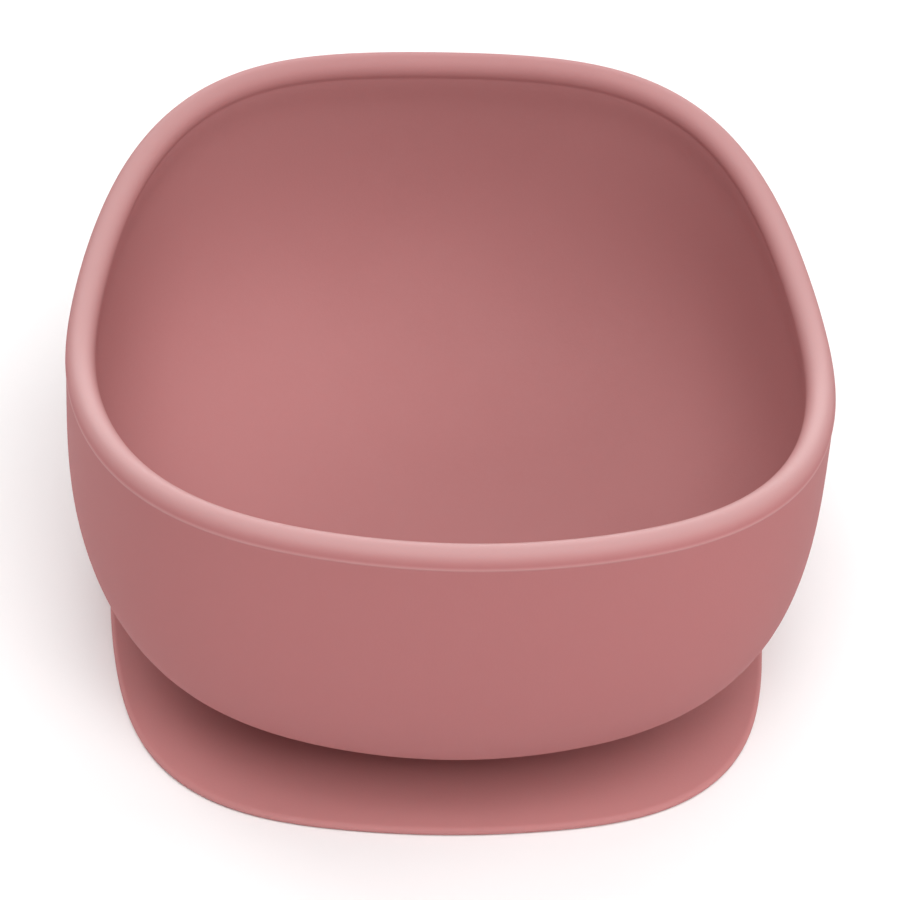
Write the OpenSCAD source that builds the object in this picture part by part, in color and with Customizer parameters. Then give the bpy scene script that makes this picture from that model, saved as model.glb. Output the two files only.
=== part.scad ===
// Suction bowl: a deep rounded-square silicone bowl with a wavy rim, bonded to a
// wide suction base that grips a table and lets go when its rear tab is lifted.
// Millimetres. +Z is up, -Y is the front, and z = 0 is the table top.

/* [Bowl] */
// Outer width of the bowl at the rim, side to side
bowl_w = 126; // [110:1:140]
// Outer length of the bowl at the rim, front to back
bowl_l = 128.9; // [110:0.1:140]
// How far the bowl's corners stand out: 0 is an oval, 0.06 is nearly square
bowl_corner = 0.0275; // [0:0.0005:0.06]
// How much the outline is drawn in between its sides and its corners
bowl_tuck = 0.0032; // [0:0.0002:0.008]
// Mean height of the rim
rim_h = 64.4; // [60:0.1:70]
// How far the front and back of the rim rise, and its sides dip
rim_wave = 6.3; // [4:0.1:8]
// How far the four corners of the rim rise
rim_corner_wave = 2; // [0:0.1:4]
// How far the back of the rim rises and its front drops
rim_tilt = 1.5; // [0:0.1:3]
// Height of the fivefold ripple, which makes the dips steeper towards the back
rim_ripple = 0.67; // [0:0.01:1]
// Thickness of the round bead along the rim
bead_t = 4.8; // [4.5:0.1:6.5]
// Thickness of the bowl's wall and floor below the bead
wall_t = 4; // [3.6:0.1:4.4]
// Depth over which the bead fades into the wall
bead_fade = 4.5; // [3:0.5:7]
// Fullness of the belly's outside: 2 is a half ellipse, higher is boxier
belly_fullness = 4.3; // [3.4:0.05:5]
// Fullness of the inside, rounder than the outside so that a spoon sweeps it clean
inner_fullness = 3.1; // [2.6:0.05:4.4]

/* [Foot] */
// Height of the bowl's flat foot above the table
foot_z = 6.3; // [6.1:0.1:8]
// Diameter of the bowl's flat foot
foot_d = 54; // [50:1:60]
// Thickness of the silicone bond under the foot
bond_t = 0.4; // [0.3:0.1:0.6]
// Outer diameter of the bond
bond_d = 50; // [40:1:50]
// Diameter of the bond-free area in the middle
bond_hole_d = 20; // [10:1:24]

/* [Suction base] */
// Outer width of the suction base, side to side
base_w = 111.6; // [100:0.1:120]
// Outer length of the suction base, front to back
base_l = 115; // [100:0.5:120]
// How far the base's corners stand out: 0 is an oval, 0.06 is nearly square
base_corner = 0.06; // [0:0.005:0.08]
// How much the base's outline is drawn in between its sides and its corners
base_tuck = 0.006; // [0:0.0005:0.01]
// Thickness of the sealing lip at the edge
lip_t = 1.6; // [1.2:0.1:2]
// Width of the flat sealing lip
lip_w = 7; // [5:0.5:9]
// Diameter of the hub under the bowl
hub_d = 60; // [56:1:64]
// Height of the hub's underside above the table
hub_z = 3; // [2.8:0.1:3.2]
// Height of the step under the hub's flange, where the skirt starts
skirt_top_z = 4.2; // [4:0.1:4.6]
// Thickness of the suction skirt
skirt_t = 1.6; // [1.4:0.1:1.8]

/* [Release tab] */
// Width of the release tab across its root
tab_w = 18; // [14:1:22]
// Distance the tab sticks out past the lip
tab_l = 5.7; // [4:0.1:5.8]
// Thickness of the tab
tab_t = 1.4; // [1.2:0.1:1.6]
// Number of grip ridges on the tab
tab_ridges = 2; // [0:1:2]

/* [Hidden] */
silicone = [0.66, 0.38, 0.38];
cured_bond = [0.72, 0.50, 0.49];
fine = 96;
around = 96;
bead_steps = 10;
wall_steps = 17;
skirt_steps = 8;
bead_r = bead_t / 2;
belly_last = 66;
step_gap = 0.3;
tab_gap = 0.3;
tab_lift_z = 0.3;
ridge_r = 0.35;
ridge_pitch = 1.7;
neck_in = 1.6;
flange_t = 0.4;
flange_w = 3;
under_rise = 0.3;
hub_top_z = foot_z - bond_t;
lip_in_w = base_w - 2 * lip_w;
lip_in_l = base_l - 2 * lip_w;

// Distance from the centre to a superellipse of half-width 1, used for the wall's side view
function reach(angle, fullness) =
    pow(pow(abs(cos(angle)), fullness) + pow(abs(sin(angle)), fullness), -1 / fullness);

// Swell of a rounded square over an oval, at an angle
function swell(angle, corner, tuck) = 1 + corner * (1 - cos(4 * angle)) - tuck * (1 - cos(8 * angle));

// How fast the swell changes, per radian
function swell_rate(angle, corner, tuck) = 4 * corner * sin(4 * angle) - 8 * tuck * sin(8 * angle);

// Point on a rounded square w wide and l long
function outline(angle, w, l, corner, tuck) =
    swell(angle, corner, tuck) / 2 * [w * cos(angle), l * sin(angle)];

// Unit normal of the bowl's outline, pointing outwards
function bowl_normal(angle) =
    let(
        r = swell(angle, bowl_corner, bowl_tuck),
        q = swell_rate(angle, bowl_corner, bowl_tuck),
        n = [bowl_l * (r * cos(angle) + q * sin(angle)), bowl_w * (r * sin(angle) - q * cos(angle))]
    )
    n / norm(n);

// Rim height: high at the front and back, low at the sides
function rim_height(angle) =
    rim_h
    + rim_tilt * sin(angle)
    - rim_wave * cos(2 * angle)
    - rim_corner_wave * cos(4 * angle)
    - rim_ripple * sin(5 * angle);

// Wall thickness at a depth below the bead's centre line
function thickness(depth) = wall_t + (bead_t - wall_t) * exp(-pow(depth / bead_fade, 2));

// Depth from the bead's centre line to the foot's plane
function full_drop(angle) = rim_height(angle) - bead_r - foot_z;

// One point of a wall: t = 0 at the bead, 90 at the middle of the floor
function wall_line(angle, t, fullness) =
    let(
        k = reach(t, fullness),
        flat = outline(angle, bowl_w, bowl_l, bowl_corner, bowl_tuck) * k * cos(t)
    )
    [flat[0], flat[1], rim_height(angle) - bead_r - full_drop(angle) * k * sin(t)];

// One point of the inner wall: its own wall line, moved inwards by the wall's thickness
function inner_wall(angle, t) =
    let(
        p = wall_line(angle, t, inner_fullness),
        k = reach(t, inner_fullness),
        e = inner_fullness - 1,
        slope = [pow(k * cos(t), e) / (bowl_w / 2), pow(k * sin(t), e) / full_drop(angle)],
        n = slope / norm(slope),
        side = bowl_normal(angle),
        w = thickness(k * sin(t) * full_drop(angle))
    )
    [p[0] - side[0] * n[0] * w, p[1] - side[1] * n[0] * w, p[2] + n[1] * w];

// The rounded bead: t = 0 at its outer side, 180 at its inner side
function bead(angle, t) =
    let(
        p = outline(angle, bowl_w, bowl_l, bowl_corner, bowl_tuck),
        side = bowl_normal(angle),
        inwards = bead_r * (1 - cos(t))
    )
    [p[0] - side[0] * inwards, p[1] - side[1] * inwards, rim_height(angle) - bead_r + bead_r * sin(t)];

// Rings of points joined into one closed skin with a point at each end
module closed_skin(low_point, rings, high_point) {
    n = len(rings[0]);
    m = len(rings);
    points = concat([low_point], [for (r = rings) each r], [high_point]);
    last = len(points) - 1;
    low_cap = [for (i = [0:n - 1]) [0, 1 + i, 1 + (i + 1) % n]];
    high_cap = [for (i = [0:n - 1]) [last, 1 + (m - 1) * n + (i + 1) % n, 1 + (m - 1) * n + i]];
    bands = [
        for (j = [0:m - 2])
            for (i = [0:n - 1])
                let(a = 1 + j * n + i, b = 1 + j * n + (i + 1) % n, c = a + n, d = b + n)
                each [[a, c, b], [b, c, d]]
    ];
    polyhedron(points, concat(low_cap, bands, high_cap), convexity = 6);
}

// Rings of points joined into one closed tube that meets itself, like a bent washer
module closed_loop(rings) {
    n = len(rings[0]);
    m = len(rings);
    points = [for (r = rings) each r];
    faces = [
        for (j = [0:m - 1])
            for (i = [0:n - 1])
                let(
                    a = j * n + i,
                    b = j * n + (i + 1) % n,
                    c = (j + 1) % m * n + i,
                    d = (j + 1) % m * n + (i + 1) % n
                )
                each [[a, c, b], [b, c, d]]
    ];
    polyhedron(points, faces, convexity = 6);
}

// Angles around an outline
angles = [for (i = [0:around - 1]) i * 360 / around];

// Bowl with its bead, belly, floor and flat foot, in one moulding
module bowl_shell() {
    foot = [[for (a = angles) foot_d / 2 * [cos(a), sin(a), 0] + [0, 0, foot_z]]];
    outside = [
        for (j = [wall_steps:-1:1])
            [for (a = angles) wall_line(a, belly_last * pow(j / wall_steps, 0.9), belly_fullness)]
    ];
    rim = [for (j = [0:bead_steps]) [for (a = angles) bead(a, 180 * j / bead_steps)]];
    inside = [
        for (j = [1:wall_steps])
            [for (a = angles) inner_wall(a, (belly_last + 10) * pow(j / wall_steps, 0.9))]
    ];
    color(silicone)
        closed_skin([0, 0, foot_z], concat(foot, outside, rim, inside), [0, 0, foot_z + wall_t]);
}

// Thin ring of cured silicone that holds the base to the foot
module bond_film() {
    color(cured_bond)
        translate([0, 0, hub_top_z])
            difference() {
                cylinder(h = bond_t, d = bond_d, $fn = fine);
                translate([0, 0, -1]) cylinder(h = bond_t + 2, d = bond_hole_d, $fn = fine);
            }
}

// Solid middle of the suction base, with a flange that the skirt starts under
module base_hub() {
    plug_r = hub_d / 2 - flange_w - step_gap;
    neck_h = hub_top_z - skirt_top_z - flange_t;
    color(silicone)
        rotate_extrude($fn = fine)
            polygon(concat(
                [[0, hub_z], [plug_r, hub_z], [plug_r, skirt_top_z], [hub_d / 2, skirt_top_z]],
                [
                    for (a = [0:15:90])
                        [hub_d / 2 - neck_in * sin(a), skirt_top_z + flange_t + neck_h * (1 - cos(a))]
                ],
                [[0, hub_top_z]]
            ));
}

// Top and underside of the skirt: t = 0 at the hub, 1 at the lip
function skirt_top(t) = lip_t + (skirt_top_z - lip_t) * (1 + cos(180 * t)) / 2;
function skirt_under(t) = skirt_top(t) - skirt_t * (1 - t) - (lip_t - under_rise) * t;

// Outline of the skirt, from the round hub out to the rounded-square lip
function skirt_outline(angle, t) =
    let(start = hub_d - 2 * flange_w)
    outline(
        angle,
        start * (1 - t) + lip_in_w * t,
        start * (1 - t) + lip_in_l * t,
        base_corner * t,
        base_tuck * t
    );

// Flexible domed skirt between the hub and the lip
module suction_skirt() {
    steps = [for (j = [0:skirt_steps]) j / skirt_steps];
    top = [for (t = steps) [for (a = angles) concat(skirt_outline(a, t), skirt_top(t))]];
    under = [for (t = steps) [for (a = angles) concat(skirt_outline(a, 1 - t), skirt_under(1 - t))]];
    color(silicone) closed_loop(concat(under, top));
}

// Flat ring that seals against the table
module sealing_lip() {
    edge = [for (a = angles) outline(a, base_w, base_l, base_corner, base_tuck)];
    hole = [for (a = angles) outline(a, lip_in_w, lip_in_l, base_corner, base_tuck)];
    color(silicone)
        linear_extrude(lip_t)
            difference() {
                polygon(edge);
                polygon(hole);
            }
}

// Small rounded tab at the back, with grip ridges, lifted to let air in
module release_tab() {
    root_y = base_l / 2 + tab_gap;
    reach_y = tab_l - tab_gap;
    curve_r = (pow(tab_w / 2, 2) + pow(reach_y, 2)) / (2 * reach_y);
    color(silicone) {
        translate([0, root_y, tab_lift_z])
            linear_extrude(tab_t)
                intersection() {
                    translate([0, reach_y - curve_r]) circle(r = curve_r, $fn = fine);
                    translate([-tab_w / 2, 0]) square([tab_w, reach_y]);
                }
        for (i = [1:1:tab_ridges])
            translate([0, root_y + i * ridge_pitch, tab_lift_z + tab_t])
                rotate([0, 90, 0])
                    cylinder(r = ridge_r, h = tab_w * (0.62 - 0.16 * i), center = true, $fn = 24);
    }
}

bowl_shell();
bond_film();
base_hub();
suction_skirt();
sealing_lip();
release_tab();
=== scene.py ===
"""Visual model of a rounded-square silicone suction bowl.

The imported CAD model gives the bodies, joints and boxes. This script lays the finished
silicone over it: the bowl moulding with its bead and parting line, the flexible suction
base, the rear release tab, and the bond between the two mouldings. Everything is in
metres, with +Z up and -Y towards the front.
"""

import logging
import math
from dataclasses import dataclass, field
from enum import Enum

import bpy
import numpy as np
from mathutils import Matrix, Vector


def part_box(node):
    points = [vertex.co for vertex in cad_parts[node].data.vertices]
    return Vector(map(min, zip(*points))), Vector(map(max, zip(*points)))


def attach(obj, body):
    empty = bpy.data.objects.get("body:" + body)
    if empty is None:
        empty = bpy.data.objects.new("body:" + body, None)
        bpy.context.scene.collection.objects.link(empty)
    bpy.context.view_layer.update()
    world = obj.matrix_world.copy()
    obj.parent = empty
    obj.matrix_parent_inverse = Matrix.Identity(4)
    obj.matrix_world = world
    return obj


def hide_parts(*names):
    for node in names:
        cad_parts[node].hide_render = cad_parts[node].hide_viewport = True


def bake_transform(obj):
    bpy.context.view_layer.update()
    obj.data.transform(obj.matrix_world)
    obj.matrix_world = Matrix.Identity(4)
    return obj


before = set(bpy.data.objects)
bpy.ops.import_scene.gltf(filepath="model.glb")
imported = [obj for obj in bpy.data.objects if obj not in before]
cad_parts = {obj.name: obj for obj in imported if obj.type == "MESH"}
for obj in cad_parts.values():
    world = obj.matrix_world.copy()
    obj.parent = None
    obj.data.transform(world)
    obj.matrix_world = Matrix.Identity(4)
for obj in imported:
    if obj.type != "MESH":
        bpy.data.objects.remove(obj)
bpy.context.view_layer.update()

MM = 0.001
LOG = logging.getLogger("suction_bowl")
Array = np.ndarray


class Body(str, Enum):
    """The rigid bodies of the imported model."""

    BOWL = "bowl"
    SUCTION_CUP = "suction_cup"
    TAB = "tab"


class Slot(str, Enum):
    """The record's material slots that the new pieces use."""

    BOWL = "bowl_silicone"
    BASE = "base_silicone"


class Mark(str, Enum):
    """Vertex attributes that the finishes read."""

    # painted highlight on the bowl's bead crest and parting ridge; wear on the base's lip edge and
    # the tab's ridges
    HIGHLIGHT_AND_WEAR = "highlight_and_wear"
    # painted shade: darker near the bowl's foot and the base's neck, under the belly
    PAINTED_SHADE = "painted_shade"
    # painted light: the bowl's inside, which takes a paler, greyer copy of the colour
    PAINTED_INSIDE_LIGHT = "painted_inside_light"


# ---------------------------------------------------------------- shape helpers


def reach(angle: Array, fullness: float) -> Array:
    """Distance from the centre to the curve |x|^f + |y|^f = 1.

    At an angle it is (|cos|^f + |sin|^f)^(-1/f).

    Args:
        angle: Angles in radians.
        fullness: The exponent f; 2 is a circle.

    Returns:
        The distances, in the angle's shape.
    """
    total = np.abs(np.cos(angle)) ** fullness + np.abs(np.sin(angle)) ** fullness
    return total ** (-1.0 / fullness)


@dataclass(frozen=True)
class RoundedSquare:
    """A plan outline: an oval that swells at its four corners.

    Its point at an angle a is swell(a) times (half_width cos a, half_length sin a), where
    swell(a) = 1 + corner (1 - cos 4a) - tuck (1 - cos 8a).
    """

    half_width: float
    half_length: float
    corner: float
    tuck: float

    @classmethod
    def inside(
        cls, low: tuple[float, ...], high: tuple[float, ...], corner: float, tuck: float
    ) -> "RoundedSquare":
        """Makes the outline that fills a box in plan.

        Args:
            low: Lowest corner of the box.
            high: Highest corner of the box.
            corner: How far the four corners stand out.
            tuck: How much the outline is drawn in between its sides and corners.

        Returns:
            The outline, as wide and as long as the box.
        """
        return cls((high[0] - low[0]) / 2, (high[1] - low[1]) / 2, corner, tuck)

    def swell(self, angle: Array) -> Array:
        """How far the outline stands out of the oval, as a factor."""
        return 1.0 + self.corner * (1.0 - np.cos(4 * angle)) - self.tuck * (1.0 - np.cos(8 * angle))

    def points(self, angle: Array) -> Array:
        """Points of the outline, with a last axis of x and y."""
        oval = np.stack([self.half_width * np.cos(angle), self.half_length * np.sin(angle)], axis=-1)
        return self.swell(angle)[..., None] * oval

    def normals(self, angle: Array) -> Array:
        """Unit outward normals: the outline's tangent, turned by a quarter."""
        swell = self.swell(angle)
        rate = 4 * self.corner * np.sin(4 * angle) - 8 * self.tuck * np.sin(8 * angle)
        x = self.half_length * (swell * np.cos(angle) + rate * np.sin(angle))
        y = self.half_width * (swell * np.sin(angle) - rate * np.cos(angle))
        length = np.hypot(x, y)
        return np.stack([x / length, y / length], axis=-1)


def smooth_step(value: Array, low: float, high: float) -> Array:
    """Rises smoothly from 0 at low to 1 at high.

    Args:
        value: Values to test.
        low: Where the step starts.
        high: Where the step ends.

    Returns:
        The eased values, between 0 and 1.
    """
    t = np.clip((value - low) / (high - low), 0.0, 1.0)
    return t * t * (3.0 - 2.0 * t)


def bump(value: Array, centre: float, width: float) -> Array:
    """Bell curve of height 1, exp(-((value - centre) / width)^2).

    Args:
        value: Values to test.
        centre: Where the bell is highest.
        width: Distance at which it has fallen to about a third.

    Returns:
        The bell's height at each value.
    """
    return np.exp(-(((value - centre) / width) ** 2))


def ring_angles(count: int) -> Array:
    """Evenly spaced angles round the Z axis, in radians."""
    return np.arange(count) * (2.0 * math.pi / count)


@dataclass
class Skin:
    """A closed surface made of rings between two poles, with marks on its points."""

    rings: Array
    low_pole: tuple[float, float, float]
    high_pole: tuple[float, float, float]
    marks: dict[Mark, Array] = field(default_factory=dict)

    def build(self, name: str) -> bpy.types.Object:
        """Makes the mesh object, with its faces turned outwards.

        Ring j and ring j + 1 are joined by quads, and each pole by a fan. If the
        signed volume comes out negative, every face is reversed.

        Args:
            name: The piece's name.

        Returns:
            The new object, linked to the scene.
        """
        ring_count, around = self.rings.shape[:2]
        points = np.concatenate(
            [[self.low_pole], self.rings.reshape(-1, 3), [self.high_pole]]
        )
        here = np.arange(around)
        after = (here + 1) % around
        rows = 1 + np.arange(ring_count - 1)[:, None] * around
        quads = np.stack(
            [rows + here, rows + after, rows + around + after, rows + around + here], axis=-1
        ).reshape(-1, 4)
        last_row = 1 + (ring_count - 1) * around
        low_fan = np.stack([np.zeros(around, int), 1 + after, 1 + here], axis=-1)
        high_fan = np.stack(
            [np.full(around, len(points) - 1), last_row + here, last_row + after], axis=-1
        )
        triangles = np.concatenate([low_fan, high_fan])
        split = np.concatenate([quads[:, [0, 1, 2]], quads[:, [0, 2, 3]], triangles])
        corners = points[split]
        volume = np.einsum(
            "ij,ij->i", corners[:, 0], np.cross(corners[:, 1], corners[:, 2])
        ).sum()
        if volume < 0.0:
            quads = quads[:, ::-1]
            triangles = triangles[:, ::-1]
        mesh = bpy.data.meshes.new(name)
        mesh.from_pydata(points.tolist(), [], quads.tolist() + triangles.tolist())
        mesh.update()
        for mark, values in self.marks.items():
            flat = np.concatenate([[values[0].mean()], values.reshape(-1), [values[-1].mean()]])
            layer = mesh.attributes.new(mark.value, "FLOAT", "POINT")
            layer.data.foreach_set("value", flat.astype(np.float32))
        mesh.shade_smooth()
        piece = bpy.data.objects.new(name, mesh)
        bpy.context.scene.collection.objects.link(piece)
        return piece


# ---------------------------------------------------------------- shared effects


class EffectGroup:
    """A shader node group with named sockets, built once and used by every finish."""

    def __init__(self, name: str) -> None:
        """Starts an empty group.

        Args:
            name: The group's name.
        """
        self.tree = bpy.data.node_groups.new(name, "ShaderNodeTree")
        self.inlet = self.tree.nodes.new("NodeGroupInput")
        self.outlet = self.tree.nodes.new("NodeGroupOutput")

    def takes(self, name: str, kind: str, value: object = None) -> None:
        """Adds an input socket with its default value."""
        socket = self.tree.interface.new_socket(name, in_out="INPUT", socket_type=kind)
        if value is not None:
            socket.default_value = value

    def gives(self, name: str, kind: str) -> None:
        """Adds an output socket."""
        self.tree.interface.new_socket(name, in_out="OUTPUT", socket_type=kind)

    def node(self, kind: str, **settings: object) -> bpy.types.Node:
        """Adds a node and sets its properties."""
        made = self.tree.nodes.new(kind)
        for key, value in settings.items():
            setattr(made, key, value)
        return made

    def join(self, source: bpy.types.NodeSocket, target: bpy.types.NodeSocket) -> None:
        """Links an output to an input."""
        self.tree.links.new(source, target)

    def math(self, operation: str, a: object, b: object) -> bpy.types.NodeSocket:
        """Adds a Math node fed by sockets or plain numbers.

        Args:
            operation: The Math node's operation.
            a: First socket or number.
            b: Second socket or number.

        Returns:
            The node's output socket.
        """
        made = self.node("ShaderNodeMath", operation=operation)
        for slot, value in zip(made.inputs, (a, b)):
            if isinstance(value, bpy.types.NodeSocket):
                self.join(value, slot)
            else:
                slot.default_value = value
        return made.outputs[0]

    def mix(
        self, factor: bpy.types.NodeSocket, a: bpy.types.NodeSocket, b: bpy.types.NodeSocket
    ) -> bpy.types.NodeSocket:
        """Adds a colour mix: a where the factor is 0, b where it is 1.

        Args:
            factor: How much of b shows, clamped to between 0 and 1.
            a: First colour.
            b: Second colour.

        Returns:
            The mixed colour's socket.
        """
        made = self.node("ShaderNodeMix", data_type="RGBA", clamp_factor=True)
        factor_slot, first_slot, second_slot = 0, 6, 7
        self.join(factor, made.inputs[factor_slot])
        self.join(a, made.inputs[first_slot])
        self.join(b, made.inputs[second_slot])
        color_slot = 2
        return made.outputs[color_slot]

    def noise(self, scale: object, detail: float, roughness: float) -> bpy.types.NodeSocket:
        """Adds a noise that reads the group's Vector input, and returns its value."""
        made = self.node("ShaderNodeTexNoise")
        self.join(self.inlet.outputs["Vector"], made.inputs["Vector"])
        if isinstance(scale, bpy.types.NodeSocket):
            self.join(scale, made.inputs["Scale"])
        else:
            made.inputs["Scale"].default_value = scale
        made.inputs["Detail"].default_value = detail
        made.inputs["Roughness"].default_value = roughness
        return made.outputs["Fac"]


def moulded_grain() -> bpy.types.NodeTree:
    """Height of a matte mould's surface: fine blasted grain over a faint long ripple."""
    group = EffectGroup("moulded_grain")
    group.takes("Vector", "NodeSocketVector")
    group.takes("Grain Scale", "NodeSocketFloat", 2600.0)
    group.takes("Ripple", "NodeSocketFloat", 0.35)
    group.gives("Height", "NodeSocketFloat")
    fine = group.noise(scale=group.inlet.outputs["Grain Scale"], detail=3.0, roughness=0.6)
    ripple = group.noise(scale=120.0, detail=2.0, roughness=0.5)
    swell = group.math("MULTIPLY", ripple, group.inlet.outputs["Ripple"])
    height = group.math("ADD", fine, swell)
    group.join(height, group.outlet.inputs["Height"])
    return group.tree


def pigment_drift_and_painted_light() -> bpy.types.NodeTree:
    """Colour of pigmented silicone: slow cloudiness and fine specks, with painted light and wear.

    The bowl's inside takes a paler, greyer copy of the colour, painted to offset the redder
    light that bounces inside it. Painted shade darkens the bowl near its foot and the base near
    its neck. The bead's crest and parting ridge take a paler painted highlight, and the base's
    lip edge and the tab's ridges a paler colour of wear.
    """
    group = EffectGroup("pigment_drift_and_painted_light")
    group.takes("Vector", "NodeSocketVector")
    group.takes("Color", "NodeSocketColor", (0.5, 0.5, 0.5, 1.0))
    group.takes("Inside Painted Light Color", "NodeSocketColor", (0.5, 0.5, 0.5, 1.0))
    group.takes("Deep Color", "NodeSocketColor", (0.4, 0.4, 0.4, 1.0))
    group.takes("Pale Color", "NodeSocketColor", (0.6, 0.6, 0.6, 1.0))
    group.takes("Drift", "NodeSocketFloat", 0.35)
    group.takes("Highlight And Wear", "NodeSocketFloat", 0.0)
    group.takes("Painted Shade", "NodeSocketFloat", 0.0)
    group.takes("Painted Inside Light", "NodeSocketFloat", 0.0)
    group.gives("Color", "NodeSocketColor")
    given = group.inlet.outputs
    # painted light: the bowl's inside takes its paler, greyer copy of the colour
    side = group.mix(given["Painted Inside Light"], given["Color"], given["Inside Painted Light Color"])
    speck_share = 0.3
    middle = (1.0 + speck_share) / 2
    # strength of the painted shade near the foot and the neck
    painted_shade_share = 0.5
    cloud = group.noise(scale=34.0, detail=3.0, roughness=0.5)
    speck = group.noise(scale=1400.0, detail=1.0, roughness=0.4)
    mixed = group.math("ADD", cloud, group.math("MULTIPLY", speck, speck_share))
    centred = group.math("SUBTRACT", mixed, middle)
    drift = group.math("MULTIPLY", centred, given["Drift"])
    painted_shade = group.math("MULTIPLY", given["Painted Shade"], painted_shade_share)
    # cloudy tone drift plus painted shade, both pulling towards the deep colour
    shade = group.math("MAXIMUM", group.math("ADD", drift, painted_shade), 0.0)
    deepened = group.mix(shade, side, given["Deep Color"])
    # painted highlight on the bead's crest and parting ridge, wear on the base's edges
    lifted = group.mix(given["Highlight And Wear"], deepened, given["Pale Color"])
    group.join(lifted, group.outlet.inputs["Color"])
    return group.tree


def handling_sheen() -> bpy.types.NodeTree:
    """Roughness of silicone: smoother along the highlight-and-wear mark and in soft patches."""
    group = EffectGroup("handling_sheen")
    group.takes("Vector", "NodeSocketVector")
    group.takes("Roughness", "NodeSocketFloat", 0.5)
    group.takes("Patches", "NodeSocketFloat", 0.08)
    group.takes("Polish", "NodeSocketFloat", 0.2)
    group.takes("Highlight And Wear", "NodeSocketFloat", 0.0)
    group.gives("Roughness", "NodeSocketFloat")
    patch = group.noise(scale=48.0, detail=4.0, roughness=0.6)
    centred = group.math("SUBTRACT", patch, 0.5)
    swing = group.math("MULTIPLY", centred, group.inlet.outputs["Patches"])
    rough = group.math("ADD", group.inlet.outputs["Roughness"], swing)
    polish = group.math("MULTIPLY", group.inlet.outputs["Highlight And Wear"], group.inlet.outputs["Polish"])
    group.join(group.math("SUBTRACT", rough, polish), group.outlet.inputs["Roughness"])
    return group.tree


@dataclass(frozen=True)
class EffectLibrary:
    """The shared node groups, built once for all finishes."""

    grain: bpy.types.NodeTree
    pigment: bpy.types.NodeTree
    sheen: bpy.types.NodeTree

    @classmethod
    def build(cls) -> "EffectLibrary":
        """Builds every shared group."""
        return cls(moulded_grain(), pigment_drift_and_painted_light(), handling_sheen())


@dataclass(frozen=True)
class SiliconeFinish:
    """A matte moulded silicone: its colours, gloss, grain and translucency.

    The inside colour is a paler, greyer copy of the colour, painted on the bowl's inside to
    offset the redder light that bounces there. The deep colour is that of cloudy patches and of
    the painted shade near the bowl's foot and the base's neck, and the pale colour that of the
    painted highlight on the bead's crest and parting ridge and of wear on the base's edges.
    The grain depth and the glow depth are in metres.
    """

    name: str
    color: tuple[float, float, float]
    inside_painted_light_color: tuple[float, float, float]
    deep_color: tuple[float, float, float]
    pale_color: tuple[float, float, float]
    roughness: float = 0.68
    patches: float = 0.10
    polish: float = 0.28
    drift: float = 0.5
    grain_scale: float = 2600.0
    grain_depth: float = 0.00003
    ripple: float = 0.3
    relief: float = 0.6
    translucency: float = 0.12
    glow_colors: tuple[float, float, float] = (1.0, 0.45, 0.4)
    glow_depth: float = 2.5 * MM
    gloss: float = 0.15
    refraction: float = 1.42

    def build(self, effects: EffectLibrary) -> bpy.types.Material:
        """Makes the material.

        Args:
            effects: The shared node groups.

        Returns:
            The finished material.
        """
        material = bpy.data.materials.new(self.name)
        material.use_nodes = True
        nodes, links = material.node_tree.nodes, material.node_tree.links
        shader = nodes["Principled BSDF"]
        place = nodes.new("ShaderNodeTexCoord").outputs["Object"]
        # attributes carrying the highlight and wear, the painted shade and the inside's painted
        # light
        highlight_and_wear = nodes.new("ShaderNodeAttribute")
        highlight_and_wear.attribute_name = Mark.HIGHLIGHT_AND_WEAR.value
        painted_shade = nodes.new("ShaderNodeAttribute")
        painted_shade.attribute_name = Mark.PAINTED_SHADE.value
        painted_inside_light = nodes.new("ShaderNodeAttribute")
        painted_inside_light.attribute_name = Mark.PAINTED_INSIDE_LIGHT.value

        pigment = nodes.new("ShaderNodeGroup")
        pigment.node_tree = effects.pigment
        pigment.inputs["Color"].default_value = (*self.color, 1.0)
        pigment.inputs["Inside Painted Light Color"].default_value = (*self.inside_painted_light_color, 1.0)
        pigment.inputs["Deep Color"].default_value = (*self.deep_color, 1.0)
        pigment.inputs["Pale Color"].default_value = (*self.pale_color, 1.0)
        pigment.inputs["Drift"].default_value = self.drift
        links.new(place, pigment.inputs["Vector"])
        links.new(highlight_and_wear.outputs["Fac"], pigment.inputs["Highlight And Wear"])
        links.new(painted_shade.outputs["Fac"], pigment.inputs["Painted Shade"])
        links.new(painted_inside_light.outputs["Fac"], pigment.inputs["Painted Inside Light"])
        links.new(pigment.outputs["Color"], shader.inputs["Base Color"])

        sheen = nodes.new("ShaderNodeGroup")
        sheen.node_tree = effects.sheen
        sheen.inputs["Roughness"].default_value = self.roughness
        sheen.inputs["Patches"].default_value = self.patches
        sheen.inputs["Polish"].default_value = self.polish
        links.new(place, sheen.inputs["Vector"])
        links.new(highlight_and_wear.outputs["Fac"], sheen.inputs["Highlight And Wear"])
        links.new(sheen.outputs["Roughness"], shader.inputs["Roughness"])

        grain = nodes.new("ShaderNodeGroup")
        grain.node_tree = effects.grain
        grain.inputs["Grain Scale"].default_value = self.grain_scale
        grain.inputs["Ripple"].default_value = self.ripple
        links.new(place, grain.inputs["Vector"])
        relief = nodes.new("ShaderNodeBump")
        relief.inputs["Strength"].default_value = self.relief
        relief.inputs["Distance"].default_value = self.grain_depth
        links.new(grain.outputs["Height"], relief.inputs["Height"])
        links.new(relief.outputs["Normal"], shader.inputs["Normal"])

        shader.inputs["IOR"].default_value = self.refraction
        shader.inputs["Subsurface Weight"].default_value = self.translucency
        shader.inputs["Subsurface Radius"].default_value = self.glow_colors
        shader.inputs["Subsurface Scale"].default_value = self.glow_depth
        shader.inputs["Specular IOR Level"].default_value = self.gloss
        return material


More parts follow.
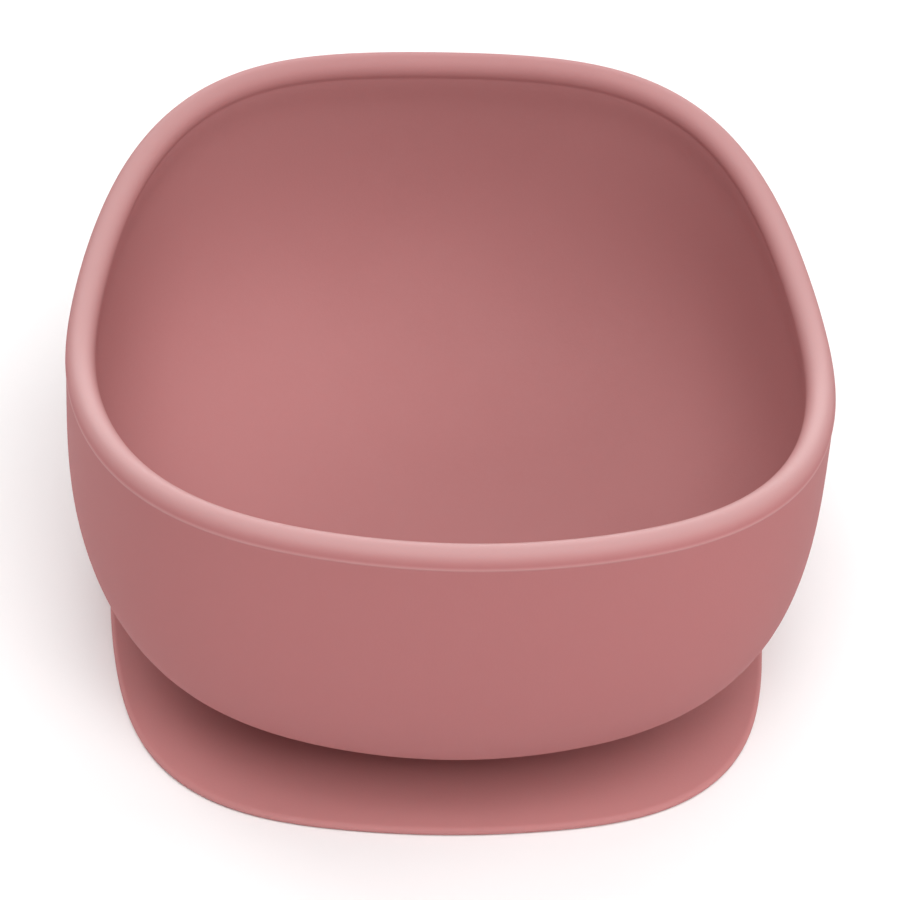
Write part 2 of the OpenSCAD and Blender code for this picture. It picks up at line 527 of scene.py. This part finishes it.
ROSE_BOWL = SiliconeFinish(
    name="rose_bowl_silicone",
    color=(0.415, 0.156, 0.157),
    # painted light: paler, greyer copy of the colour for the bowl's inside
    inside_painted_light_color=(0.45, 0.199, 0.199),
    deep_color=(0.39, 0.152, 0.151),
    # pale colour of the painted highlight on the bead's crest and parting ridge
    pale_color=(0.54, 0.305, 0.303),
)
# painted light: a lighter copy of the bowl's silicone, raised to offset the shade under the bowl's
# belly
ROSE_BASE = SiliconeFinish(
    name="rose_base_silicone",
    color=(0.49, 0.207, 0.205),
    inside_painted_light_color=(0.49, 0.207, 0.205),
    deep_color=(0.41, 0.170, 0.168),
    pale_color=(0.55, 0.285, 0.280),
    roughness=0.70,
)
CLEAR_BOND = SiliconeFinish(
    name="cured_bond_silicone",
    color=(0.50, 0.24, 0.22),
    inside_painted_light_color=(0.50, 0.24, 0.22),
    deep_color=(0.42, 0.17, 0.16),
    pale_color=(0.58, 0.32, 0.30),
    roughness=0.34,
    grain_scale=900.0,
    translucency=0.3,
    gloss=0.5,
)


# ---------------------------------------------------------------- the bowl


@dataclass
class BowlMoulding:
    """The bowl: a rounded-square wall with a wavy beaded rim, a full belly and a flat foot."""

    plan: RoundedSquare
    foot_z: float
    rim_mean: float = 64.4 * MM
    rim_wave: float = 6.3 * MM
    corner_wave: float = 2.0 * MM
    rim_tilt: float = 1.5 * MM
    rim_ripple: float = 0.67 * MM
    bead: float = 4.8 * MM
    wall: float = 4.0 * MM
    bead_fade: float = 4.5 * MM
    fullness: float = 4.3
    inner_fullness: float = 3.1
    crease_turn: float = math.radians(205.0)
    foot_radius: float = 27.0 * MM
    belly_end: float = math.radians(66.0)
    floor_end: float = math.radians(86.0)
    parting_drop: float = 0.1 * MM
    parting_height: float = 0.13 * MM
    parting_width: float = 0.28 * MM
    around: int = 288
    upper_steps: int = 22
    upper_depth: float = 1.8 * MM
    belly_steps: int = 44
    bead_steps: int = 24
    inner_steps: int = 60
    belly_spacing: float = 0.92
    inner_spacing: float = 1.35
    # strength of the painted highlight on the parting ridge
    ridge_highlight_and_wear: float = 0.5
    # narrowness and rear falloff of the painted highlight along the bead's crest
    crest_sharpness: float = 1.8
    rear_highlight_fade: float = 0.6
    shadow_height: float = 4.0 * MM

    @classmethod
    def from_frame(cls) -> "BowlMoulding":
        """Takes the width, the length and the foot's height from the CAD bowl."""
        low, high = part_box("bowl_shell")
        plan = RoundedSquare.inside(low, high, corner=0.0275, tuck=0.0032)
        return cls(plan=plan, foot_z=low[2])

    def rim_height(self, angle: Array) -> Array:
        """Height of the rim: a wave twice and four times a turn, tilted and rippled."""
        return (
            self.rim_mean
            + self.rim_tilt * np.sin(angle)
            - self.rim_wave * np.cos(2 * angle)
            - self.corner_wave * np.cos(4 * angle)
            - self.rim_ripple * np.sin(5 * angle)
        )

    def full_drop(self, angle: Array) -> Array:
        """Height of the wall, from the bead's centre line down to the foot's plane."""
        return self.rim_height(angle) - self.bead / 2 - self.foot_z

    def turn_at_depth(self, angle: Array, depth: Array, fullness: float) -> Array:
        """The wall parameter t at a depth below the bead's centre line.

        The wall follows r^f + s^f = 1, with r the share of the half-width and s the
        share of the drop, and t is the angle of (r, s).

        Args:
            angle: Angles round the bowl.
            depth: Depths in metres.
            fullness: Exponent of the wall's side view.

        Returns:
            The parameter t in radians.
        """
        share = depth / self.full_drop(angle)
        inwards = (1.0 - share**fullness) ** (1.0 / fullness)
        return np.arctan2(share, inwards)

    def wall_line(
        self, angle: Array, turn: Array, fullness: float
    ) -> tuple[Array, Array, Array]:
        """A wall surface of a given fullness, without its parting line.

        Args:
            angle: Angles round the bowl.
            turn: Wall parameter: 0 at the bead, a quarter turn at the floor's middle.
            fullness: Exponent of the wall's side view; 2 is an ellipse.

        Returns:
            The points, their unit normals and their depth below the bead's centre line.
        """
        k = reach(turn, fullness)
        share_out, share_down = k * np.cos(turn), k * np.sin(turn)
        drop = self.full_drop(angle)
        flat = self.plan.points(angle) * share_out[..., None]
        height = self.rim_height(angle) - self.bead / 2 - share_down * drop
        points = np.concatenate([flat, height[..., None]], axis=-1)
        power = fullness - 1.0
        slope_out = share_out**power / self.plan.half_width
        slope_down = share_down**power / drop
        length = np.hypot(slope_out, slope_down)
        side = self.plan.normals(angle)
        normals = np.concatenate(
            [side * (slope_out / length)[..., None], -(slope_down / length)[..., None]], axis=-1
        )
        return points, normals, share_down * drop

    def outer_rings(self) -> tuple[Array, Array]:
        """Rings of the outer side, from the foot up to the bead, with the parting line.

        The parting line is a bell-shaped ridge at a fixed depth under the bead, so it
        runs parallel to the wavy rim.

        Returns:
            The rings and the strength of the painted highlight on the parting ridge.
        """
        angle = ring_angles(self.around)[None, :]
        upper_depth = np.linspace(0.0, self.upper_depth, self.upper_steps)[:, None]
        upper_depth = np.broadcast_to(upper_depth, (self.upper_steps, self.around))
        upper = self.turn_at_depth(angle, upper_depth, self.fullness)
        share = np.linspace(0.0, 1.0, self.belly_steps + 1)[1:, None] ** self.belly_spacing
        lower = upper[-1:] + (self.belly_end - upper[-1:]) * share
        turn = np.concatenate([upper, lower])
        angle = np.broadcast_to(angle, turn.shape)
        points, normals, depth = self.wall_line(angle, turn, self.fullness)
        ridge = bump(depth, self.parting_drop, self.parting_width)
        points = points + normals * (ridge * self.parting_height)[..., None]
        return points[::-1], (self.ridge_highlight_and_wear * ridge)[::-1]

    def bead_turns(self) -> Array:
        """Angles over the round bead: 0 at its outer side, the last at the inner crease."""
        return np.linspace(0.0, self.crease_turn, self.bead_steps + 1)[1:, None]

    def bead_rings(self) -> Array:
        """Rings over the round bead, from its outer side to the crease on its inside."""
        angle = ring_angles(self.around)[None, :]
        turn = self.bead_turns()
        radius = self.bead / 2
        inwards = radius * (1.0 - np.cos(turn))
        flat = self.plan.points(angle) - self.plan.normals(angle) * inwards[..., None]
        height = self.rim_height(angle) - radius + radius * np.sin(turn)
        return np.concatenate([flat, height[..., None]], axis=-1)

    def inner_rings(self) -> Array:
        """Rings of the inner side, from the bead's crease down to the floor's middle.

        Each point is one wall thickness inside a wall line of the inner fullness, along
        its normal. The thickness falls from the bead's at the crease to the wall's over
        the fade depth.
        """
        crease_depth = -self.bead / 2 * math.sin(self.crease_turn)
        crease_thickness = self.bead / 2 * (1.0 - math.cos(self.crease_turn))
        angle = ring_angles(self.around)[None, :]
        depth = np.full((1, self.around), crease_depth)
        start = self.turn_at_depth(angle, depth, self.inner_fullness)
        share = np.linspace(0.0, 1.0, self.inner_steps + 1)[1:, None] ** self.inner_spacing
        turn = start + (self.floor_end - start) * share
        angle = np.broadcast_to(angle, turn.shape)
        points, normals, depth = self.wall_line(angle, turn, self.inner_fullness)
        fade = bump(depth, crease_depth, self.bead_fade)
        thickness = self.wall + (crease_thickness - self.wall) * fade
        return points - normals * thickness[..., None]

    def foot_rings(self) -> Array:
        """Rings of the flat foot, out to a softly rounded edge."""
        angle = ring_angles(self.around)[None, :]
        radius = np.array([0.35, 0.7, 0.93, 0.985, 1.0])[:, None] * self.foot_radius
        lift = np.array([0.0, 0.0, 0.0, 0.05, 0.22])[:, None] * MM
        height = np.broadcast_to(self.foot_z + lift, (len(lift), self.around))
        return np.stack([radius * np.cos(angle), radius * np.sin(angle), height], axis=-1)

    def crest_painted_highlight(self) -> Array:
        """Painted highlight over the bead: strongest along its top, weaker round the back.

        Over the bead it is the sine of the bead's turn to the crest's sharpness. Towards
        the back it falls by the rear fade times the squared sine of the angle.
        """
        crest = np.clip(np.sin(self.bead_turns()), 0.0, 1.0) ** self.crest_sharpness
        towards_back = np.clip(np.sin(ring_angles(self.around)), 0.0, 1.0) ** 2
        return crest * (1.0 - self.rear_highlight_fade * towards_back)

    def build(self, material: bpy.types.Material) -> bpy.types.Object:
        """Makes the bowl and rides it on its body.

        Args:
            material: The bowl's finish.

        Returns:
            The bowl piece.
        """
        outer, ridge = self.outer_rings()
        foot, bead, inner = self.foot_rings(), self.bead_rings(), self.inner_rings()
        rings = np.concatenate([foot, outer, bead, inner])
        no_foot, no_outer = np.zeros(foot.shape[:2]), np.zeros(outer.shape[:2])
        # painted highlight on the parting ridge and along the bead's crest
        highlight_and_wear = np.concatenate([no_foot, ridge, self.crest_painted_highlight(), np.zeros(inner.shape[:2])])
        # painted light: the inside's paler copy of the colour, blended in over the bead
        over_bead = np.broadcast_to((1.0 - np.cos(self.bead_turns())) / 2, bead.shape[:2])
        painted_inside_light = np.concatenate([no_foot, no_outer, over_bead, np.ones(inner.shape[:2])])
        # painted shade: darker towards the foot, under the belly
        painted_shade = 1.0 - smooth_step(rings[..., 2], self.foot_z, self.foot_z + self.shadow_height)
        painted_shade[len(foot) + len(outer) :] = 0.0
        skin = Skin(
            rings,
            (0.0, 0.0, self.foot_z),
            (0.0, 0.0, self.foot_z + self.wall),
            {Mark.HIGHLIGHT_AND_WEAR: highlight_and_wear, Mark.PAINTED_SHADE: painted_shade, Mark.PAINTED_INSIDE_LIGHT: painted_inside_light},
        )
        piece = skin.build("bowl_body")
        piece.data.materials.append(material)
        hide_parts("bowl_shell")
        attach(piece, Body.BOWL.value)
        return piece


# ---------------------------------------------------------------- the suction base


@dataclass
class SuctionBase:
    """The flexible base: a neck under the foot, a domed skirt and a thin sealing lip."""

    plan: RoundedSquare
    top_z: float
    hub_z: float
    lip: float = 1.6 * MM
    lip_width: float = 7.0 * MM
    skirt_top_z: float = 4.2 * MM
    skirt: float = 1.6 * MM
    neck_radius: float = 28.4 * MM
    skirt_start: float = 27.0 * MM
    inner_lip: float = 0.3 * MM
    neck_flare: float = 1.4 * MM
    neck_clearance: float = 1.9 * MM
    rib_height: float = 0.3 * MM
    rib_places: tuple[float, float] = (0.42, 0.72)
    rib_width: float = 0.045
    gate_height: float = 0.35 * MM
    edge_wear: float = 0.1
    edge_wear_width: float = 0.7 * MM
    neck_shade: float = 0.9
    neck_shade_width: float = 9.0 * MM
    edge_steps: int = 14
    skirt_steps: int = 40
    neck_steps: int = 8
    around: int = 288

    @classmethod
    def from_frame(cls) -> "SuctionBase":
        """Takes the width, the length and the heights from the CAD lip and hub."""
        lip_low, lip_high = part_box("sealing_lip")
        hub_low, hub_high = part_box("base_hub")
        return cls(
            plan=RoundedSquare.inside(lip_low, lip_high, corner=0.06, tuck=0.006),
            top_z=hub_high[2],
            hub_z=hub_low[2],
            lip=lip_high[2],
        )

    def rings_in_plan(self, half: Array, squared: Array) -> Array:
        """Rings between a circle and the lip's rounded square, flat in plan.

        Args:
            half: Half-width of each ring.
            squared: How far each ring has turned from a circle (0) to the lip's shape (1).

        Returns:
            An array of rings of x and y.
        """
        angle = ring_angles(self.around)[None, :]
        half, squared = half[:, None], squared[:, None]
        swell = 1.0 + squared * (self.plan.swell(angle) - 1.0)
        half_length = half + squared * (self.plan.half_length - self.plan.half_width)
        return np.stack([half * swell * np.cos(angle), half_length * swell * np.sin(angle)], axis=-1)

    def top_height(self, share: Array) -> Array:
        """Height of the skirt's top: half a cosine wave from the neck to the lip."""
        return self.lip + (self.skirt_top_z - self.lip) * (1.0 + np.cos(math.pi * share)) / 2

    @property
    def lip_in(self) -> float:
        """Half-width at the inner edge of the lip, where the skirt ends."""
        return self.plan.half_width - self.lip_width

    def skirt_half(self, share: Array) -> Array:
        """Half-width of the skirt, from its start (share 0) to the lip (share 1)."""
        return self.skirt_start + (self.lip_in - self.skirt_start) * share

    def underside(self) -> Array:
        """Rings of the underside: a moulding gate, the hub, the ribbed skirt and the lip.

        Returns:
            A row of half-width, height and squaring for each ring.
        """
        hub_half = np.array([0.6, 1.0, 1.5, 8.0, 20.0]) * MM
        hub_lift = np.array([self.gate_height, 0.30 * MM, 0.0, 0.0, -0.1 * MM])
        hub_z = self.hub_z + hub_lift
        hub = np.stack([hub_half, hub_z, np.zeros_like(hub_z)], axis=-1)
        share = np.linspace(0.0, 1.0, self.skirt_steps)
        drop = self.skirt * (1.0 - share) + (self.lip - self.inner_lip) * share
        ribs = sum(bump(share, place, self.rib_width) for place in self.rib_places)
        skirt_z = self.top_height(share) - drop - self.rib_height * ribs
        skirt = np.stack([self.skirt_half(share), skirt_z, share], axis=-1)
        land_half = self.lip_in + np.array([0.5 * MM, 1.4 * MM, self.lip_width - 2.4 * MM])
        land_z = np.array([0.12, 0.0, 0.0]) * MM
        land = np.stack([land_half, land_z, np.ones_like(land_z)], axis=-1)
        return np.concatenate([hub, skirt, land])

    def edge(self) -> Array:
        """Rings over the lip's half-round edge, from below to above.

        Returns:
            A row of half-width, height and squaring for each ring.
        """
        turn = np.linspace(-math.pi / 2, math.pi / 2, self.edge_steps)
        radius = self.lip / 2
        half = self.plan.half_width - radius + radius * np.cos(turn)
        return np.stack([half, radius + radius * np.sin(turn), np.ones_like(half)], axis=-1)

    def upper_side(self) -> Array:
        """Rings of the skirt's top, then the neck's quarter-round and its flat top.

        Returns:
            A row of half-width, height and squaring for each ring.
        """
        share = np.linspace(0.0, 1.0, self.skirt_steps)[::-1]
        share = share[self.skirt_half(share) > self.neck_radius + self.neck_clearance]
        skirt = np.stack([self.skirt_half(share), self.top_height(share), share], axis=-1)
        turn = np.linspace(0.0, math.pi / 2, self.neck_steps)
        foot_half = self.neck_radius + self.neck_flare
        foot_share = np.array((foot_half - self.skirt_start) / (self.lip_in - self.skirt_start))
        foot_z = self.top_height(foot_share)
        neck_half = self.neck_radius + self.neck_flare * (1.0 - np.sin(turn))
        neck_z = foot_z + (self.top_z - foot_z) * (1.0 - np.cos(turn))
        neck = np.stack([neck_half, neck_z, np.zeros_like(turn)], axis=-1)
        cap_half = np.array([0.85, 0.4]) * self.neck_radius
        cap_z = np.full_like(cap_half, self.top_z)
        cap = np.stack([cap_half, cap_z, np.zeros_like(cap_half)], axis=-1)
        return np.concatenate([skirt, neck, cap])

    def build(self, material: bpy.types.Material) -> bpy.types.Object:
        """Makes the base, from under the bowl's foot down to the lip on the table.

        Args:
            material: The base's finish.

        Returns:
            The base piece.
        """
        half, height, squared = np.concatenate([self.underside(), self.edge(), self.upper_side()]).T
        plan = self.rings_in_plan(half, squared)
        z = np.broadcast_to(height[:, None], plan.shape[:2])
        rings = np.concatenate([plan, z[..., None]], axis=-1)
        rim = self.edge_wear * bump(half, self.plan.half_width, self.edge_wear_width)
        # painted shade: darker round the neck, under the bowl's belly
        outside = smooth_step(half, self.neck_radius, self.neck_radius + self.neck_shade_width)
        shade = self.neck_shade * (1.0 - outside)
        highlight_and_wear = np.broadcast_to(rim[:, None], plan.shape[:2])
        painted_shade = np.broadcast_to(shade[:, None], plan.shape[:2])
        skin = Skin(
            rings,
            (0.0, 0.0, self.hub_z + self.gate_height),
            (0.0, 0.0, self.top_z),
            {Mark.HIGHLIGHT_AND_WEAR: highlight_and_wear, Mark.PAINTED_SHADE: painted_shade},
        )
        piece = skin.build("suction_base")
        piece.data.materials.append(material)
        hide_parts("suction_skirt", "sealing_lip", "base_hub")
        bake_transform(piece)
        return piece


# ---------------------------------------------------------------- the release tab


@dataclass
class ReleaseTab:
    """The small rounded pull tab at the rear edge, with grip ridges on top."""

    width: float
    tip_y: float
    low_z: float
    root_y: float
    lip_y: float
    thickness: float = 1.4 * MM
    root_depth: float = 4.0 * MM
    edge_round: float = 0.6 * MM
    ridge_height: float = 0.32 * MM
    ridge_pitch: float = 1.7 * MM
    ridge_halves: tuple[float, float] = (4.1 * MM, 2.7 * MM)
    ridge_width: float = 0.34 * MM
    root_fade: float = 2.2 * MM
    root_sink: float = 0.55 * MM
    root_lift: float = 0.45 * MM
    rear_power: float = 2.15
    front_power: float = 3.2
    # pale wear on the tab's grip ridges
    ridge_highlight_and_wear: float = 0.5
    wear_start: float = 0.08 * MM
    around: int = 160
    across: int = 56
    edge_steps: int = 10

    @classmethod
    def from_frame(cls) -> "ReleaseTab":
        """Takes the tab's place from the CAD tab and the lip's edge from the CAD lip."""
        low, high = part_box("release_tab")
        lip_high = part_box("sealing_lip")[1]
        return cls(
            width=high[0] - low[0],
            tip_y=high[1],
            low_z=low[2],
            root_y=low[1],
            lip_y=lip_high[1],
        )

    def outline(self) -> tuple[Array, Array]:
        """Centre-based outline of the tab in plan.

        The rear half is the tab's rounded end; the front half is a softer tongue that
        stays buried in the lip. Both are rounded rectangles in polar form.

        Returns:
            The angles and the distance from the tab's middle at each.
        """
        angle = ring_angles(self.around)
        back = self.tip_y - self.lip_y
        front = self.root_depth
        depth = np.where(np.sin(angle) > 0.0, back, front)
        power = np.where(np.sin(angle) > 0.0, self.rear_power, self.front_power)
        half = self.width / 2
        total = np.abs(np.cos(angle) / half) ** power + np.abs(np.sin(angle) / depth) ** power
        return angle, total ** (-1.0 / power)

    def root_fall(self, y: Array) -> Array:
        """1 where the tab is buried in the lip, falling to 0 at its free root."""
        return 1.0 - smooth_step(y, self.lip_y - self.root_fade, self.root_y)

    def top_height(self, x: Array, y: Array) -> Array:
        """Height of the tab's upper face, sunk at the root and ridged at the end."""
        base = self.low_z + self.thickness
        sunk = self.root_sink * self.root_fall(y)
        ridges = np.zeros_like(x)
        for index, half_length in enumerate(self.ridge_halves, start=1):
            line = bump(y, self.root_y + index * self.ridge_pitch, self.ridge_width)
            ends = 1.0 - smooth_step(np.abs(x), half_length - 0.5 * MM, half_length + 0.4 * MM)
            ridges = ridges + line * ends
        return base - sunk + self.ridge_height * ridges

    def build(self, material: bpy.types.Material) -> bpy.types.Object:
        """Makes the tab, sunk at its root where it leaves the lip.

        Args:
            material: The base's finish.

        Returns:
            The tab piece.
        """
        angle, distance = self.outline()
        edge_turn = np.linspace(-math.pi / 2, math.pi / 2, self.edge_steps)
        face_share = np.linspace(0.0, 1.0, self.across + 1)[1:]
        inset = self.edge_round * (1.0 - np.cos(edge_turn))
        inner = (distance - self.edge_round)[None, :]
        under_radius = inner * face_share[:, None]
        edge_radius = distance[None, :] - inset[:, None]
        top_radius = under_radius[::-1]
        radius = np.concatenate([under_radius, edge_radius[1:-1], top_radius])
        x = radius * np.cos(angle)
        y = self.lip_y + radius * np.sin(angle)
        top = self.top_height(x, y)
        under_lift = self.root_lift * self.root_fall(y)
        under = self.low_z + under_lift
        rise = np.concatenate([
            np.zeros(self.across),
            (1.0 + np.sin(edge_turn[1:-1])) / 2,
            np.ones(self.across),
        ])[:, None]
        z = under + (top - under) * rise
        rings = np.stack([x, y, z], axis=-1)
        wear_z = self.low_z + self.thickness + self.wear_start
        highlight_and_wear = self.ridge_highlight_and_wear * smooth_step(z, wear_z, z.max())
        middle = np.array([0.0, self.lip_y])
        pole_top = float(self.top_height(middle[:1], middle[1:])[0])
        pole_under = float(under_lift[0].mean() + self.low_z)
        skin = Skin(
            rings,
            (0.0, self.lip_y, pole_under),
            (0.0, self.lip_y, pole_top),
            {Mark.HIGHLIGHT_AND_WEAR: highlight_and_wear, Mark.PAINTED_SHADE: np.zeros_like(highlight_and_wear)},
        )
        piece = skin.build("release_pull_tab")
        piece.data.materials.append(material)
        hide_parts("release_tab")
        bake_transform(piece)
        return piece


@dataclass
class BondRing:
    """The cured silicone between the foot and the base, which keeps its CAD shape."""

    node: str = "bond_film"

    def dress(self, material: bpy.types.Material) -> bpy.types.Object:
        """Puts the bond's finish on the CAD node.

        Args:
            material: The bond's finish.

        Returns:
            The CAD node's object.
        """
        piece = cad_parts[self.node]
        piece.data.materials.clear()
        piece.data.materials.append(material)
        return piece


# ---------------------------------------------------------------- the studio


@dataclass(frozen=True)
class SoftPanel:
    """A rectangular soft light that faces the bowl."""

    name: str
    place: tuple[float, float, float]
    size: tuple[float, float]
    brightness: float

    def hang(self, aim: Vector) -> bpy.types.Object:
        """Adds the light to the scene.

        Args:
            aim: The point it faces.

        Returns:
            The light's object.
        """
        data = bpy.data.lights.new(self.name, "AREA")
        data.shape = "RECTANGLE"
        data.size, data.size_y = self.size
        data.energy = math.pi * self.size[0] * self.size[1] * self.brightness
        lamp = bpy.data.objects.new(self.name, data)
        lamp.location = self.place
        lamp.rotation_mode = "QUATERNION"
        lamp.rotation_quaternion = (aim - Vector(self.place)).to_track_quat("-Z", "Y")
        bpy.context.scene.collection.objects.link(lamp)
        return lamp


STUDIO_PANELS = (
    SoftPanel("front_softbox", (0.0, -0.7, 1.2), (1.0, 0.7), 6.2),
    SoftPanel("front_low_panel", (0.0, -1.3, 0.35), (1.2, 0.5), 0.7),
    SoftPanel("overhead_panel", (0.0, 0.05, 1.2), (1.2, 1.0), 0.95),
    SoftPanel("rear_low_strip", (0.0, 1.3, 0.4), (2.0, 0.3), 6.7),
    SoftPanel("rear_high_strip", (0.0, 1.15, 0.9), (2.0, 0.3), 0.9),
    SoftPanel("left_rear_panel", (-0.8, 0.8, 0.8), (0.6, 0.6), 2.7),
    SoftPanel("right_panel", (1.0, 0.0, 0.9), (0.7, 0.7), 2.2),
    SoftPanel("right_front_panel", (0.85, -0.8, 0.7), (0.6, 0.6), 2.8),
    SoftPanel("left_low_panel", (-1.3, 0.0, 0.35), (0.8, 0.5), 2.2),
    SoftPanel("right_low_panel", (1.3, 0.0, 0.35), (0.8, 0.5), 0.65),
)


@dataclass
class Studio:
    """A pale floor, soft light and the camera, placed by its angles round the aim point."""

    floor_half: float = 3.0
    floor_color: tuple[float, float, float] = (0.93, 0.93, 0.93)
    floor_roughness: float = 0.9
    floor_gloss: float = 0.1
    surround: float = 0.03
    aim_z: float = 28.35 * MM
    azimuth: float = math.radians(-4.94)
    elevation: float = math.radians(41.04)
    roll: float = math.radians(3.73)
    distance: float = 752.3 * MM
    shift_right: float = 0.86 * MM
    shift_up: float = 3.78 * MM
    lens: float = 179.12
    sensor: float = 36.0
    clip: tuple[float, float] = (0.02, 20.0)

    def build_floor(self) -> bpy.types.Object:
        """Makes the pale floor, which isn't part of the object."""
        mesh = bpy.data.meshes.new("studio_floor")
        half = self.floor_half
        corners = [(-half, -half, 0.0), (half, -half, 0.0), (half, half, 0.0), (-half, half, 0.0)]
        mesh.from_pydata(corners, [], [(0, 1, 2, 3)])
        floor = bpy.data.objects.new("studio_floor", mesh)
        bpy.context.scene.collection.objects.link(floor)
        material = bpy.data.materials.new("studio_floor_paint")
        material.use_nodes = True
        shader = material.node_tree.nodes["Principled BSDF"]
        shader.inputs["Base Color"].default_value = (*self.floor_color, 1.0)
        shader.inputs["Roughness"].default_value = self.floor_roughness
        shader.inputs["Specular IOR Level"].default_value = self.floor_gloss
        mesh.materials.append(material)
        return floor

    def build_world(self) -> None:
        """Sets a faint, even white surrounding light."""
        world = bpy.data.worlds.new("studio_world")
        world.use_nodes = True
        background = world.node_tree.nodes["Background"]
        background.inputs["Color"].default_value = (1.0, 1.0, 1.0, 1.0)
        background.inputs["Strength"].default_value = self.surround
        bpy.context.scene.world = world

    def build_lights(self) -> None:
        """Hangs every soft light, each with its brightness times its area as power."""
        for panel in STUDIO_PANELS:
            panel.hang(Vector((0.0, 0.0, self.aim_z)))

    def build_camera(self) -> bpy.types.Object:
        """Places the camera by its angles round the aim point.

        Returns:
            The camera's object.
        """
        cos_e, sin_e = math.cos(self.elevation), math.sin(self.elevation)
        cos_a, sin_a = math.cos(self.azimuth), math.sin(self.azimuth)
        back = Vector((sin_a * cos_e, -cos_a * cos_e, sin_e))
        right = Vector((cos_a, sin_a, 0.0))
        up = back.cross(right)
        place = (
            Vector((0.0, 0.0, self.aim_z))
            + back * self.distance
            + right * self.shift_right
            + up * self.shift_up
        )
        cos_r, sin_r = math.cos(self.roll), math.sin(self.roll)
        rolled_right = right * cos_r + up * sin_r
        rolled_up = up * cos_r - right * sin_r
        data = bpy.data.cameras.new("studio_camera")
        data.lens = self.lens
        data.sensor_width = self.sensor
        data.clip_start, data.clip_end = self.clip
        camera = bpy.data.objects.new("studio_camera", data)
        turn = Matrix((rolled_right, rolled_up, back)).transposed().to_4x4()
        camera.matrix_world = Matrix.Translation(place) @ turn
        bpy.context.scene.collection.objects.link(camera)
        bpy.context.scene.camera = camera
        return camera

    def build(self) -> None:
        """Builds the camera, floor, world and lights."""
        bpy.context.scene.view_settings.view_transform = "Standard"
        self.build_camera()
        self.build_floor()
        self.build_world()
        self.build_lights()


def main() -> None:
    """Builds the studio and every piece of the bowl, in order."""
    logging.basicConfig(level=logging.INFO, format="%(name)s: %(message)s")
    Studio().build()
    effects = EffectLibrary.build()
    rose_bowl = ROSE_BOWL.build(effects)
    rose_base = ROSE_BASE.build(effects)
    pieces = [
        BowlMoulding.from_frame().build(rose_bowl),
        SuctionBase.from_frame().build(rose_base),
        ReleaseTab.from_frame().build(rose_base),
        BondRing().dress(CLEAR_BOND.build(effects)),
    ]
    for piece in pieces:
        LOG.info("%s: %d faces", piece.name, len(piece.data.polygons))


if __name__ == "__main__":
    main()
